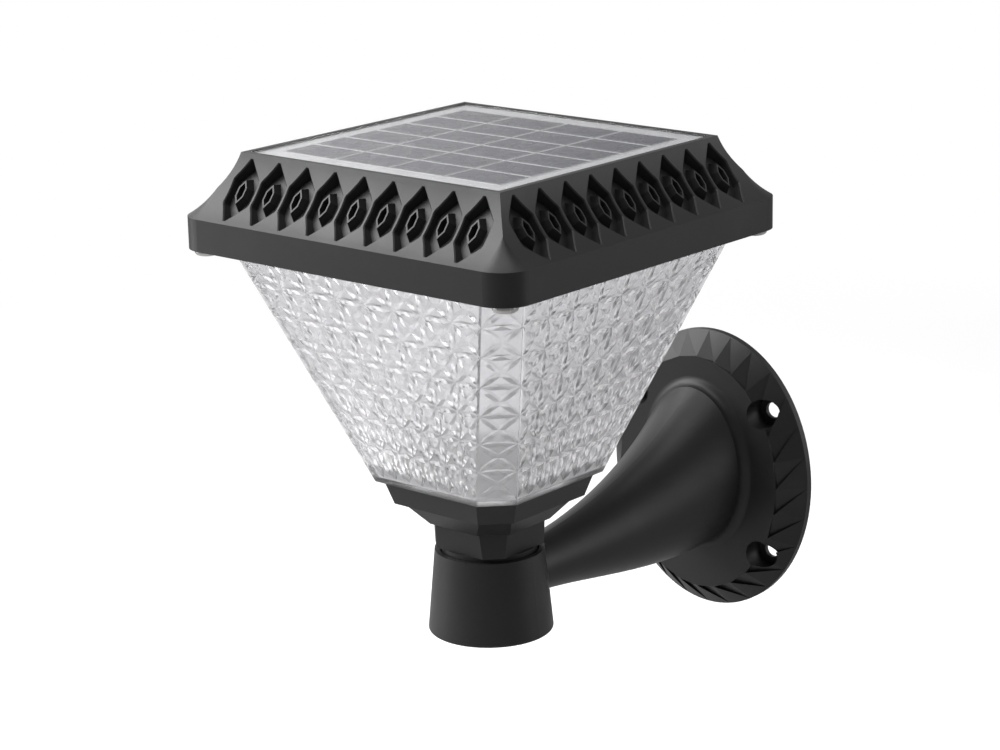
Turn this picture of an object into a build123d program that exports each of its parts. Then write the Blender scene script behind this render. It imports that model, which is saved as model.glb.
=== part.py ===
"""Solar wall lamp: a square solar head with a pressed clear lens, turning in the cup of a horn bracket.

The origin is the centre of the wall flange's back face. +Z is up and the lamp stands out towards -Y.
All sizes are in millimetres.
"""
import os
from math import atan2, cos, degrees, pi, sin, sqrt, tan

from build123d import *

os.makedirs("parts", exist_ok=True)

# Placing of the head
lamp_reach = 153.5
cup_top_level = 4.5

# Wall flange
flange_width = 105.4
flange_height = 126.8
flange_edge = 3.0
flange_rise = 12.5
slope_run = 10.2
slope_wall = 4.2
face_wall = 2.5
notch_count = 28
notch_depth = 2.0
hole_spacing_x = 67.0
hole_spacing_z = 64.0
hole_diameter = 7.0
pocket_diameter = 13.0
pocket_floor = 2.0
pocket_wall = 2.0

# Horn arm
arm_tip_width = 20.6
arm_tip_height = 21.2
arm_root_width = 51.8
arm_root_height = 71.8
arm_root_land = 0.6
arm_root_round = 4.0
arm_tip_level = -11.3
arm_root_level = 4.3
arm_widening = 1.55
arm_lift = 3.4
arm_wall = 2.6
arm_steps = 6

# Socket cup
cup_top_diameter = 44.8
cup_bottom_diameter = 51.4
cup_height = 34.6
cup_wall = 2.6
cup_bore = 39.2
cup_bore_depth = 16.5
cup_web = 3.0
cup_mouth_chamfer = 0.8
cup_foot_round = 1.0

# Neck, collar and pivot
spigot_clearance = 0.05
spigot_seat_gap = 0.2
spigot_wall = 3.6
neck_gap = 1.9
neck_height = 11.0
neck_bottom_width = 37.0
neck_bottom_chamfer = 6.2
neck_top_width = 39.6
neck_top_chamfer = 8.2
bevel_height = 9.4
bevel_bottom_width = 43.4
bevel_top_width = 58.6
bevel_chamfer = 9.2
collar_height = 9.2
collar_bottom_width = 64.2
collar_top_width = 70.4
collar_bottom_chamfer = 10.1
collar_top_chamfer = 11.1
collar_wall = 3.0
deck_thickness = 3.0
pivot_boss_diameter = 11.0
pivot_diameter = 4.7
pivot_head_diameter = 9.2
pivot_head_height = 3.2
pivot_grip = 12.0
pivot_tip_chamfer = 0.6
pivot_hole_clearance = 0.4
thread_clearance = 0.05
washer_diameter = 15.0
washer_thickness = 1.0
washer_gap = 0.15

# Lens
collar_seal = 0.7
lens_height = 96.7
lens_bottom_width = 75.4
lens_chamfer = 10.8
lens_wall = 2.4
lens_floor = 2.4
lens_flange_thickness = 2.5
lens_boss_diameter = 7.0
lens_boss_circle_diameter = 22.0
floor_card = 0.8
floor_card_gap = 0.4
collar_screw_diameter = 2.9
collar_screw_head = 5.4
collar_screw_head_height = 2.0
collar_screw_grip = 8.0

# Roof cap
cap_width = 170.0
rim_overhang = 10.35
cap_corner_radius = 12.0
rim_height = 12.9
roof_rise = 24.4
roof_top_width = 131.9
roof_hollow = 3.0
rim_wall = 3.0
rim_shoulder = 4.0
top_wall = 2.5
vent_count = 9
vent_pitch = 14.84
vent_width = 12.3
vent_length = 25.4
vent_side = 10.2
vent_depth = 3.0
vent_back_wall = 2.0
vent_draft = 8.0
vent_lip = 0.4
eye_width = 6.4
eye_length = 14.4
eye_side = 4.6
eye_height = 3.4
eye_draft = 18.0
eye_hole_width = 2.9
eye_hole_length = 8.0
eye_hole_side = 3.5

# Base frame and cap screws
frame_thickness = 2.8
frame_fit = 0.3
lens_seal = 0.5
lens_flange_gap = 1.8
cap_screw_inset = 8.5
cap_screw_diameter = 4.0
cap_screw_head = 10.0
cap_screw_head_height = 3.0
cap_screw_head_round = 1.8
cap_screw_grip = 7.0
cap_screw_slot = 1.0
cap_screw_slot_length = 5.0
cap_screw_slot_depth = 1.4
cap_boss_diameter = 9.0
cap_boss_gap = 0.8
screw_hole_clearance = 0.2
screw_hole_runout = 1.0

# Push switch under the back of the cap
switch_x = 30.0
switch_length = 8.4
switch_width = 5.4
switch_proud = 0.4
switch_notch_gap = 0.5
button_diameter = 3.6
button_clearance = 0.1
button_head = 4.2
button_head_height = 0.8
button_head_gap = 0.15
button_travel = 1.2
button_stop_gap = 0.3
button_proud = 1.8
button_dome = 0.6

# Solar panel
panel_width = 126.6
panel_fit = 0.3
panel_adhesive_thickness = 0.3
backsheet_thickness = 1.6
cell_thickness = 0.2
cover_thickness = 0.5
panel_sink = 0.1
cell_columns = 4
cell_rows = 6
cell_pitch_x = 28.0
cell_pitch_y = 18.0
cell_gap = 1.0

# Reflector tray and light source
tray_thickness = 2.0
tray_boss_diameter = 6.0
led_board_width = 60.0
led_board_thickness = 1.6
led_count = 4
led_pitch = 13.0
led_length = 3.5
led_width = 2.8
led_height = 0.9
led_screw_inset = 4.0
led_standoff = 3.0
small_screw_diameter = 2.4
small_screw_head = 4.8
small_screw_head_height = 1.6
small_screw_grip = 4.0

# Battery
cell_diameter = 18.2
cell_length = 65.0
cell_spacing = 19.6
holder_height = 11.0
holder_base = 1.6
holder_wall = 2.0
holder_play = 0.15
contact_thickness = 0.4
contact_diameter = 8.0
battery_y = -22.0

# Charge controller
board_length = 58.0
board_width = 36.0
board_thickness = 1.6
board_y = 34.0
board_standoff = 4.0
board_screw_inset = 3.6
inductor_diameter = 10.0
inductor_height = 5.0
inductor_round = 1.0
chip_length = 10.0
chip_width = 6.0
chip_height = 1.8
chip_chamfer = 0.4
connector_length = 7.4
connector_width = 5.6
connector_height = 5.2
connector_pitch = 18.0

# Leads held inside the cap
lead_diameter = 1.5
lead_spacing = 2.4
lead_bend = 3.0
lead_run = 9.0
lead_rest_gap = 0.1
lead_hole = 6.4
lead_row_y = 8.0

# Levels and places worked out from the sizes above
axis_y = -lamp_reach
lamp_axis = Axis((0, axis_y, 0), (0, 0, 1))
bore_floor_level = cup_top_level - cup_bore_depth
web_bottom_level = bore_floor_level - cup_web
cup_bottom_level = cup_top_level - cup_height
spigot_bottom_level = bore_floor_level + spigot_seat_gap
neck_bottom_level = cup_top_level + neck_gap
neck_top_level = neck_bottom_level + neck_height
collar_bottom_level = neck_top_level + bevel_height
collar_top_level = collar_bottom_level + collar_height
deck_top_level = neck_top_level + deck_thickness
lens_bottom_level = collar_top_level + collar_seal
rim_level = lens_bottom_level + lens_height
rim_top_level = rim_level + rim_height
roof_top_level = rim_top_level + roof_rise
frame_top_level = rim_level + frame_thickness
flange_bottom_level = frame_top_level + lens_seal
flange_top_level = flange_bottom_level + lens_flange_thickness
tray_top_level = flange_top_level + tray_thickness
panel_stack = panel_adhesive_thickness + backsheet_thickness + cell_thickness + cover_thickness + panel_sink
recess_level = roof_top_level - panel_stack
cavity_top_level = recess_level - top_wall

half_cap = cap_width / 2
half_top = roof_top_width / 2
roof_run = half_cap - half_top
roof_lean = atan2(roof_run, roof_rise)
slope_offset = roof_hollow + vent_depth + vent_back_wall
cap_screw_offset = half_cap - cap_screw_inset
half_frame = half_cap - rim_wall - frame_fit
half_lens_top = half_cap - rim_overhang
lens_top_width = 2 * half_lens_top
half_lens_bottom = lens_bottom_width / 2
half_window = half_lens_top + frame_fit
half_flange = half_cap - rim_wall - lens_flange_gap
flange_chamfer = 2 * (half_flange - cap_screw_offset) + sqrt(2) * (cap_boss_diameter / 2 + cap_boss_gap)
switch_y = (half_window + half_frame) / 2
lens_slope = (half_lens_top - half_lens_bottom) / lens_height
floor_inner_half = half_lens_bottom + lens_floor * lens_slope - lens_wall
lead_level = tray_top_level + board_standoff + board_thickness + connector_height / 2

wall_plane = Plane(origin=(0, 0, 0), x_dir=(1, 0, 0), z_dir=(0, -1, 0))
front_section = Plane(origin=(0, axis_y, 0), x_dir=(1, 0, 0), z_dir=(0, -1, 0))
side_section = Plane(origin=(0, axis_y, 0), x_dir=(0, 1, 0), z_dir=(1, 0, 0))


def level(height, x=0.0, y=0.0):
    """Horizontal plane at a height, with its origin placed from the lamp's axis."""
    return Plane(origin=(x, axis_y + y, height))


def at(x, y, z):
    """Point placed from the lamp's axis."""
    return Vector(x, axis_y + y, z)


def chamfered_square(width, corner):
    """Square with its corners cut off, drawn in the open sketch."""
    square = Rectangle(width, width)
    chamfer(square.vertices(), corner)


def leaf(width, length, side):
    """Long hexagon with pointed ends, drawn in the open sketch."""
    tip = length / 2
    shoulder = side / 2
    edge = width / 2
    Polygon((0, tip), (-edge, shoulder), (-edge, -shoulder), (0, -tip), (edge, -shoulder), (edge, shoulder))


def flange_outline(edge_to_wall):
    """Half sizes of the flange's back hollow at a distance from the wall."""
    lean = atan2(flange_rise - flange_edge, slope_run)
    inset = slope_wall / sin(lean) + (edge_to_wall - flange_edge) / tan(lean)
    return flange_width / 2 - inset, flange_height / 2 - inset


def flange_point(notch, inset, depth):
    """Point on the flange at a notch, so far in from its outline and out from the wall."""
    angle = 2 * pi * notch / notch_count
    return Vector((flange_width / 2 - inset) * cos(angle), -depth, (flange_height / 2 - inset) * sin(angle))


def arm_section(share, shrink):
    """Sketch plane and half sizes of the horn at a share of its length from the cup."""
    start = lamp_reach - cup_bore / 2 + cup_wall
    end = flange_rise + arm_root_round + arm_root_land
    distance = start + (end - start) * share
    rise = arm_tip_level + (arm_root_level - arm_tip_level) * share**arm_lift
    half_width = (arm_tip_width + (arm_root_width - arm_tip_width) * share**arm_widening) / 2 - shrink
    half_height = (arm_tip_height + (arm_root_height - arm_tip_height) * share**arm_widening) / 2 - shrink
    plane = Plane(origin=(0, -distance, rise), x_dir=(1, 0, 0), z_dir=(0, -1, 0))
    return plane, half_width, half_height


# Hollow of the bracket: the flange's back and the inside of the horn
with BuildPart() as bracket_hollow:
    hollow_depth = flange_rise - face_wall
    with BuildSketch(wall_plane):
        Ellipse(*flange_outline(0))
    with BuildSketch(wall_plane.offset(hollow_depth)):
        Ellipse(*flange_outline(hollow_depth))
    loft()
    for step in range(1, arm_steps + 1):
        section_plane, half_width, half_height = arm_section(step / arm_steps, arm_wall)
        with BuildSketch(section_plane):
            Ellipse(half_width, half_height)
    with BuildSketch(Plane(origin=(0, -hollow_depth / 2, arm_root_level), x_dir=(1, 0, 0), z_dir=(0, -1, 0))):
        Ellipse(arm_root_width / 2 - arm_wall, arm_root_height / 2 - arm_wall)
    loft()
    with BuildSketch(wall_plane):
        with GridLocations(hole_spacing_x, hole_spacing_z, 2, 2):
            Circle(pocket_diameter / 2 + pocket_wall)
    extrude(amount=flange_rise, mode=Mode.SUBTRACT)

# Wall bracket: flange with a notched slope, horn arm and socket cup in one moulding
with BuildPart() as wall_bracket:
    with BuildSketch(wall_plane):
        Ellipse(flange_width / 2, flange_height / 2)
    extrude(amount=flange_edge)
    with BuildSketch(wall_plane.offset(flange_edge)):
        Ellipse(flange_width / 2, flange_height / 2)
    with BuildSketch(wall_plane.offset(flange_rise)):
        Ellipse(flange_width / 2 - slope_run, flange_height / 2 - slope_run)
    loft()
    for notch in range(notch_count):
        apex = flange_point(notch, 0, flange_edge)
        ridge = flange_point(notch, slope_run, flange_rise)
        valley = flange_point(notch - 1, slope_run, flange_rise - notch_depth)
        past_ridge = ridge * 2 - valley
        floor_plane = Plane(origin=apex, x_dir=ridge - apex, z_dir=(ridge - apex).cross(valley - apex))
        corners = [floor_plane.to_local_coords(corner) for corner in (apex, past_ridge, valley)]
        with BuildSketch(floor_plane):
            with BuildLine():
                Polyline(corners, close=True)
            make_face()
    extrude(amount=2 * notch_depth, dir=(0, -1, 0), mode=Mode.SUBTRACT)
    for step in range(arm_steps + 1):
        section_plane, half_width, half_height = arm_section(step / arm_steps, 0)
        with BuildSketch(section_plane):
            Ellipse(half_width, half_height)
    loft()
    with BuildSketch(section_plane):
        Ellipse(half_width, half_height)
    extrude(until=Until.PREVIOUS)
    root_edges = wall_bracket.edges().filter_by_position(Axis.Y, -flange_rise, -flange_rise)
    fillet(root_edges.sort_by(SortBy.LENGTH)[-1], arm_root_round)
    with BuildSketch(front_section):
        with BuildLine():
            Polyline(
                (0, cup_bottom_level),
                (cup_bottom_diameter / 2, cup_bottom_level),
                (cup_top_diameter / 2, cup_top_level),
                (0, cup_top_level),
                close=True,
            )
        make_face()
    revolve(axis=lamp_axis)
    fillet(wall_bracket.edges().filter_by(GeomType.CIRCLE).group_by(Axis.Z)[0], cup_foot_round)
    add(bracket_hollow.part, mode=Mode.SUBTRACT)
    cup_growth = (cup_bottom_diameter - cup_top_diameter) / 2 / cup_height
    web_radius = cup_top_diameter / 2 + cup_growth * (cup_top_level - web_bottom_level)
    with BuildSketch(front_section):
        with BuildLine():
            Polyline(
                (0, bore_floor_level),
                (cup_bore / 2, bore_floor_level),
                (cup_bore / 2, cup_top_level - cup_mouth_chamfer),
                (cup_bore / 2 + cup_mouth_chamfer, cup_top_level),
                (0, cup_top_level),
                close=True,
            )
        make_face()
        with BuildLine():
            Polyline(
                (0, cup_bottom_level),
                (cup_bottom_diameter / 2 - cup_wall, cup_bottom_level),
                (web_radius - cup_wall, web_bottom_level),
                (0, web_bottom_level),
                close=True,
            )
        make_face()
    revolve(axis=lamp_axis, mode=Mode.SUBTRACT)
    with BuildSketch(level(web_bottom_level)):
        Circle(pivot_diameter / 2 + pivot_hole_clearance)
    extrude(amount=cup_web, mode=Mode.SUBTRACT)
    with BuildSketch(wall_plane.offset(pocket_floor)):
        with GridLocations(hole_spacing_x, hole_spacing_z, 2, 2):
            Circle(pocket_diameter / 2)
    extrude(amount=flange_rise, mode=Mode.SUBTRACT)
    with BuildSketch(wall_plane):
        with GridLocations(hole_spacing_x, hole_spacing_z, 2, 2):
            Circle(hole_diameter / 2)
    extrude(amount=pocket_floor, mode=Mode.SUBTRACT)
wall_bracket.part.label = "wall_bracket"
export_step(wall_bracket.part, "parts/wall_bracket.step")

# Washer under the cup's web
with BuildPart() as friction_washer:
    with BuildSketch(level(web_bottom_level - washer_thickness)):
        Circle(washer_diameter / 2)
        Circle(pivot_diameter / 2 + pivot_hole_clearance, mode=Mode.SUBTRACT)
    extrude(amount=washer_thickness)
friction_washer.part.label = "friction_washer"
export_step(friction_washer.part, "parts/friction_washer.step")

# Pivot screw up through the web into the spigot's boss
pivot_head_top = web_bottom_level - washer_thickness - washer_gap
pivot_top_level = spigot_bottom_level + pivot_grip
with BuildPart() as pivot_screw:
    with BuildSketch(level(pivot_head_top - pivot_head_height)):
        RegularPolygon(pivot_head_diameter / 2, 6)
    extrude(amount=pivot_head_height)
    with BuildSketch(level(pivot_head_top)):
        Circle(pivot_diameter / 2)
    extrude(amount=pivot_top_level - pivot_head_top)
    chamfer(pivot_screw.edges().group_by(Axis.Z)[-1], pivot_tip_chamfer)
pivot_screw.part.label = "pivot_screw"
export_step(pivot_screw.part, "parts/pivot_screw.step")

# Neck and collar with the round spigot
with BuildPart() as neck_collar:
    with BuildSketch(level(collar_bottom_level)):
        chamfered_square(collar_bottom_width, collar_bottom_chamfer)
    with BuildSketch(level(collar_top_level)):
        chamfered_square(collar_top_width, collar_top_chamfer)
    loft(ruled=True)
    with BuildSketch(level(neck_top_level)):
        chamfered_square(bevel_bottom_width, bevel_chamfer)
    with BuildSketch(level(collar_bottom_level)):
        chamfered_square(bevel_top_width, bevel_chamfer)
    loft(ruled=True)
    with BuildSketch(level(neck_bottom_level)):
        chamfered_square(neck_bottom_width, neck_bottom_chamfer)
    with BuildSketch(level(neck_top_level)):
        chamfered_square(neck_top_width, neck_top_chamfer)
    loft(ruled=True)
    with BuildSketch(level(spigot_bottom_level)):
        Circle(cup_bore / 2 - spigot_clearance)
    extrude(amount=neck_bottom_level - spigot_bottom_level)
    with BuildSketch(level(deck_top_level)):
        chamfered_square(neck_top_width, neck_top_chamfer)
    with BuildSketch(level(collar_top_level)):
        chamfered_square(collar_top_width - 2 * collar_wall, collar_top_chamfer)
    loft(ruled=True, mode=Mode.SUBTRACT)
    with BuildSketch(level(spigot_bottom_level)):
        Circle(cup_bore / 2 - spigot_clearance - spigot_wall)
        Circle(pivot_boss_diameter / 2, mode=Mode.SUBTRACT)
    extrude(amount=neck_top_level - spigot_bottom_level, mode=Mode.SUBTRACT)
    with BuildSketch(level(spigot_bottom_level)):
        Circle(pivot_diameter / 2 + thread_clearance)
    extrude(amount=pivot_grip + screw_hole_runout, mode=Mode.SUBTRACT)
    with BuildSketch(level(neck_top_level)):
        with PolarLocations(lens_boss_circle_diameter / 2, 4, start_angle=45):
            Circle(collar_screw_diameter / 2 + screw_hole_clearance)
    extrude(amount=deck_thickness, mode=Mode.SUBTRACT)
neck_collar.part.label = "neck_collar"
export_step(neck_collar.part, "parts/neck_collar.step")

# Seal between the collar and the lens
with BuildPart() as collar_gasket:
    with BuildSketch(level(collar_top_level)):
        chamfered_square(collar_top_width - collar_wall / 2, collar_top_chamfer)
        with BuildSketch(mode=Mode.SUBTRACT):
            chamfered_square(collar_top_width - 2 * collar_wall, collar_top_chamfer)
    extrude(amount=collar_seal)
collar_gasket.part.label = "collar_gasket"
export_step(collar_gasket.part, "parts/collar_gasket.step")

# Screws from the deck up into the lens bosses
with BuildPart() as collar_screws:
    with BuildSketch(level(neck_top_level - collar_screw_head_height)):
        with PolarLocations(lens_boss_circle_diameter / 2, 4, start_angle=45):
            Circle(collar_screw_head / 2)
    extrude(amount=collar_screw_head_height)
    with BuildSketch(level(neck_top_level)):
        with PolarLocations(lens_boss_circle_diameter / 2, 4, start_angle=45):
            Circle(collar_screw_diameter / 2)
    extrude(amount=deck_thickness + collar_screw_grip)
collar_screws.part.label = "collar_screws"
export_step(collar_screws.part, "parts/collar_screws.step")

# Cut for the push switch through the lens flange, its seal and the tray
with BuildPart() as switch_notch:
    notch_reach = half_cap - half_window
    with BuildSketch(level(frame_top_level, switch_x, half_window + notch_reach / 2)):
        Rectangle(switch_length + 2 * switch_notch_gap, notch_reach)
    extrude(amount=tray_top_level - frame_top_level)

# Lens: tapered eight-sided shade with a floor, bosses below and a flange above
with BuildPart() as lens:
    with BuildSketch(level(lens_bottom_level)):
        chamfered_square(lens_bottom_width, lens_chamfer)
    with BuildSketch(level(rim_level)):
        chamfered_square(lens_top_width, lens_chamfer)
    loft(ruled=True)
    with BuildSketch(level(rim_level)):
        chamfered_square(lens_top_width, lens_chamfer)
    extrude(amount=flange_top_level - rim_level)
    with BuildSketch(level(flange_bottom_level)):
        chamfered_square(2 * half_flange, flange_chamfer)
    extrude(amount=lens_flange_thickness)
    with BuildSketch(level(lens_bottom_level + lens_floor)):
        chamfered_square(2 * floor_inner_half, lens_chamfer)
    with BuildSketch(level(rim_level)):
        chamfered_square(lens_top_width - 2 * lens_wall, lens_chamfer)
    loft(ruled=True, mode=Mode.SUBTRACT)
    with BuildSketch(level(rim_level)):
        chamfered_square(lens_top_width - 2 * lens_wall, lens_chamfer)
    extrude(amount=flange_top_level - rim_level, mode=Mode.SUBTRACT)
    with BuildSketch(level(deck_top_level)):
        with PolarLocations(lens_boss_circle_diameter / 2, 4, start_angle=45):
            Circle(lens_boss_diameter / 2)
    extrude(amount=lens_bottom_level - deck_top_level)
    with BuildSketch(level(deck_top_level)):
        with PolarLocations(lens_boss_circle_diameter / 2, 4, start_angle=45):
            Circle(collar_screw_diameter / 2 + thread_clearance)
    extrude(amount=collar_screw_grip + screw_hole_runout, mode=Mode.SUBTRACT)
    add(switch_notch.part, mode=Mode.SUBTRACT)
lens.part.label = "lens"
export_step(lens.part, "parts/lens.step")

# White card on the lens floor
with BuildPart() as floor_reflector:
    with BuildSketch(level(lens_bottom_level + lens_floor)):
        chamfered_square(2 * (floor_inner_half - floor_card_gap), lens_chamfer)
    extrude(amount=floor_card)
floor_reflector.part.label = "floor_reflector"
export_step(floor_reflector.part, "parts/floor_reflector.step")

# Base frame that closes the cap and carries the lens flange
with BuildPart() as base_frame:
    with BuildSketch(level(rim_level)):
        RectangleRounded(2 * half_frame, 2 * half_frame, cap_corner_radius - rim_wall - frame_fit)
        with BuildSketch(mode=Mode.SUBTRACT):
            chamfered_square(2 * half_window, lens_chamfer)
        with GridLocations(2 * cap_screw_offset, 2 * cap_screw_offset, 2, 2):
            Circle(cap_screw_diameter / 2 + screw_hole_clearance, mode=Mode.SUBTRACT)
        with Locations((switch_x, switch_y)):
            Circle(button_diameter / 2 + button_clearance, mode=Mode.SUBTRACT)
    extrude(amount=frame_thickness)
base_frame.part.label = "base_frame"
export_step(base_frame.part, "parts/base_frame.step")

# Seal between the frame and the lens flange
with BuildPart() as lens_gasket:
    with BuildSketch(level(frame_top_level)):
        chamfered_square(2 * half_flange, flange_chamfer)
        with BuildSketch(mode=Mode.SUBTRACT):
            chamfered_square(2 * half_window, lens_chamfer)
    extrude(amount=lens_seal)
    add(switch_notch.part, mode=Mode.SUBTRACT)
lens_gasket.part.label = "lens_gasket"
export_step(lens_gasket.part, "parts/lens_gasket.step")

# Corner cutter that rounds the rim and fades out along the roof's hips
with BuildPart() as corner_cutter:
    with BuildSketch(Plane.XY.offset(rim_level)):
        Rectangle(2 * cap_corner_radius, 2 * cap_corner_radius, align=(Align.MIN, Align.MIN))
    extrude(amount=rim_height + roof_rise)
    with BuildSketch(Plane.XZ):
        with BuildLine():
            Polyline(
                (cap_corner_radius - roof_run, roof_top_level),
                (cap_corner_radius - roof_run, rim_level),
                (cap_corner_radius, rim_level),
                (cap_corner_radius, rim_top_level),
            )
            ThreePointArc(
                (cap_corner_radius, rim_top_level),
                (
                    cap_corner_radius - roof_run / 2 - roof_hollow * cos(roof_lean),
                    rim_top_level + roof_rise / 2 - roof_hollow * sin(roof_lean),
                ),
                (cap_corner_radius - roof_run, roof_top_level),
            )
        make_face()
        with Locations((0, rim_level)):
            Rectangle(
                2 * cap_corner_radius,
                rim_height + roof_rise,
                align=(Align.MIN, Align.MIN),
                mode=Mode.INTERSECT,
            )
    revolve(axis=Axis.Z, mode=Mode.SUBTRACT)

# One vent pocket and the raised eye on its floor
with BuildPart() as vent_pocket:
    with BuildSketch():
        leaf(vent_width, vent_length, vent_side)
    extrude(amount=vent_depth + 2 * roof_hollow, taper=-vent_draft)
with BuildPart() as vent_eye:
    with BuildSketch():
        leaf(eye_width, eye_length, eye_side)
    extrude(amount=eye_height, taper=eye_draft)
    with BuildSketch():
        leaf(eye_hole_width, eye_hole_length, eye_hole_side)
    extrude(amount=eye_height, mode=Mode.SUBTRACT)

# Roof cap: mitred hollow slopes over a rim band, with a row of leaf vents on each side
with BuildPart() as roof_cap:
    mid_half = (half_cap + half_top) / 2 - roof_hollow * cos(roof_lean)
    mid_level = rim_top_level + roof_rise / 2 - roof_hollow * sin(roof_lean)
    for section, combine in ((front_section, Mode.ADD), (side_section, Mode.INTERSECT)):
        with BuildSketch(section):
            with BuildLine():
                Polyline(
                    (-half_cap, rim_top_level),
                    (-half_cap, rim_level),
                    (half_cap, rim_level),
                    (half_cap, rim_top_level),
                )
                ThreePointArc((half_cap, rim_top_level), (mid_half, mid_level), (half_top, roof_top_level))
                Line((half_top, roof_top_level), (-half_top, roof_top_level))
                ThreePointArc((-half_top, roof_top_level), (-mid_half, mid_level), (-half_cap, rim_top_level))
            make_face()
        extrude(amount=half_cap, both=True, mode=combine)
    corner_offset = half_cap - cap_corner_radius
    for quarter in range(4):
        corner_place = Pos(0, axis_y, 0) * Rot(0, 0, 90 * quarter) * Pos(corner_offset, corner_offset, 0)
        with Locations(corner_place):
            add(corner_cutter.part, mode=Mode.SUBTRACT)
    vent_places = []
    for quarter in range(4):
        row_place = Pos(0, axis_y, 0) * Rot(0, 0, 90 * quarter)
        floor_origin = (
            0,
            -(mid_half - vent_depth * cos(roof_lean)),
            mid_level - vent_depth * sin(roof_lean),
        )
        row_plane = Plane(origin=floor_origin, x_dir=(1, 0, 0), z_dir=(0, -cos(roof_lean), sin(roof_lean)))
        for vent in range(vent_count):
            across = (vent - (vent_count - 1) / 2) * vent_pitch
            vent_places.append(row_place * row_plane.location * Pos(across, 0, 0))
    with Locations(*vent_places):
        add(vent_pocket.part, mode=Mode.SUBTRACT)
    pocket_edges = roof_cap.edges(Select.LAST)
    chamfer(pocket_edges - pocket_edges.filter_by(GeomType.LINE), vent_lip)
    with BuildSketch(level(rim_level)):
        RectangleRounded(
            cap_width - 2 * rim_wall, cap_width - 2 * rim_wall, cap_corner_radius - rim_wall
        )
    extrude(amount=rim_height - rim_shoulder, mode=Mode.SUBTRACT)
    shoulder_half = half_cap - slope_offset / cos(roof_lean) + rim_shoulder * tan(roof_lean)
    with BuildSketch(level(rim_top_level - rim_shoulder)):
        Rectangle(2 * shoulder_half, 2 * shoulder_half)
    extrude(
        amount=cavity_top_level - rim_top_level + rim_shoulder,
        taper=degrees(roof_lean),
        mode=Mode.SUBTRACT,
    )
    with BuildSketch(level(frame_top_level)):
        with GridLocations(2 * cap_screw_offset, 2 * cap_screw_offset, 2, 2):
            Circle(cap_boss_diameter / 2)
    extrude(amount=rim_top_level - frame_top_level)
    with BuildSketch(level(frame_top_level)):
        with GridLocations(2 * cap_screw_offset, 2 * cap_screw_offset, 2, 2):
            Circle(cap_screw_diameter / 2 + thread_clearance)
    extrude(amount=cap_screw_grip + screw_hole_runout, mode=Mode.SUBTRACT)
    with BuildSketch(level(recess_level)):
        Rectangle(panel_width + 2 * panel_fit, panel_width + 2 * panel_fit)
    extrude(amount=panel_stack, mode=Mode.SUBTRACT)
    with BuildSketch(level(cavity_top_level, -connector_pitch, lead_row_y)):
        Circle(lead_hole / 2)
    extrude(amount=top_wall, mode=Mode.SUBTRACT)
    with Locations(*vent_places):
        add(vent_eye.part)
roof_cap.part.label = "roof_cap"
export_step(roof_cap.part, "parts/roof_cap.step")

# Screws up through the frame's corners into the cap
with BuildPart() as cap_screws:
    with BuildSketch(level(rim_level - cap_screw_head_height)):
        with GridLocations(2 * cap_screw_offset, 2 * cap_screw_offset, 2, 2):
            Circle(cap_screw_head / 2)
    extrude(amount=cap_screw_head_height)
    fillet(cap_screws.edges().group_by(Axis.Z)[0], cap_screw_head_round)
    with BuildSketch(level(rim_level)):
        with GridLocations(2 * cap_screw_offset, 2 * cap_screw_offset, 2, 2):
            Circle(cap_screw_diameter / 2)
    extrude(amount=frame_thickness + cap_screw_grip)
    with BuildSketch(level(rim_level - cap_screw_head_height)):
        with GridLocations(2 * cap_screw_offset, 2 * cap_screw_offset, 2, 2):
            Rectangle(cap_screw_slot_length, cap_screw_slot)
            Rectangle(cap_screw_slot, cap_screw_slot_length)
    extrude(amount=cap_screw_slot_depth, mode=Mode.SUBTRACT)
cap_screws.part.label = "cap_screws"
export_step(cap_screws.part, "parts/cap_screws.step")

# Switch body over the button, and the button through the frame
with BuildPart() as switch_body:
    with BuildSketch(level(frame_top_level, switch_x, switch_y)):
        Rectangle(switch_length, switch_width)
    extrude(amount=tray_top_level + switch_proud - frame_top_level)
    with BuildSketch(level(frame_top_level, switch_x, switch_y)):
        Circle(button_head / 2 + button_clearance)
    extrude(
        amount=button_head_gap + button_head_height + button_travel + button_stop_gap,
        mode=Mode.SUBTRACT,
    )
switch_body.part.label = "switch_body"
export_step(switch_body.part, "parts/switch_body.step")

button_head_level = frame_top_level + button_head_gap
with BuildPart() as power_button:
    with BuildSketch(level(rim_level - button_proud, switch_x, switch_y)):
        Circle(button_diameter / 2)
    extrude(amount=button_head_level - rim_level + button_proud)
    fillet(power_button.edges().group_by(Axis.Z)[0], button_dome)
    with BuildSketch(level(button_head_level, switch_x, switch_y)):
        Circle(button_head / 2)
    extrude(amount=button_head_height)
power_button.part.label = "power_button"
export_step(power_button.part, "parts/power_button.step")

# Solar panel: bedding, backsheet, cells and clear cover
backsheet_level = recess_level + panel_adhesive_thickness
cell_level = backsheet_level + backsheet_thickness
cover_level = cell_level + cell_thickness
with BuildPart() as panel_adhesive:
    with BuildSketch(level(recess_level)):
        Rectangle(panel_width, panel_width)
        with Locations((-connector_pitch, lead_row_y)):
            Circle(lead_hole / 2, mode=Mode.SUBTRACT)
    extrude(amount=panel_adhesive_thickness)
panel_adhesive.part.label = "panel_adhesive"
export_step(panel_adhesive.part, "parts/panel_adhesive.step")

with BuildPart() as solar_backsheet:
    with BuildSketch(level(backsheet_level)):
        Rectangle(panel_width, panel_width)
    extrude(amount=backsheet_thickness)
solar_backsheet.part.label = "solar_backsheet"
export_step(solar_backsheet.part, "parts/solar_backsheet.step")

with BuildPart() as solar_cells:
    with BuildSketch(level(cell_level)):
        with GridLocations(cell_pitch_x, cell_pitch_y, cell_columns, cell_rows):
            Rectangle(cell_pitch_x - cell_gap, cell_pitch_y - cell_gap)
    extrude(amount=cell_thickness)
solar_cells.part.label = "solar_cells"
export_step(solar_cells.part, "parts/solar_cells.step")

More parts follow.
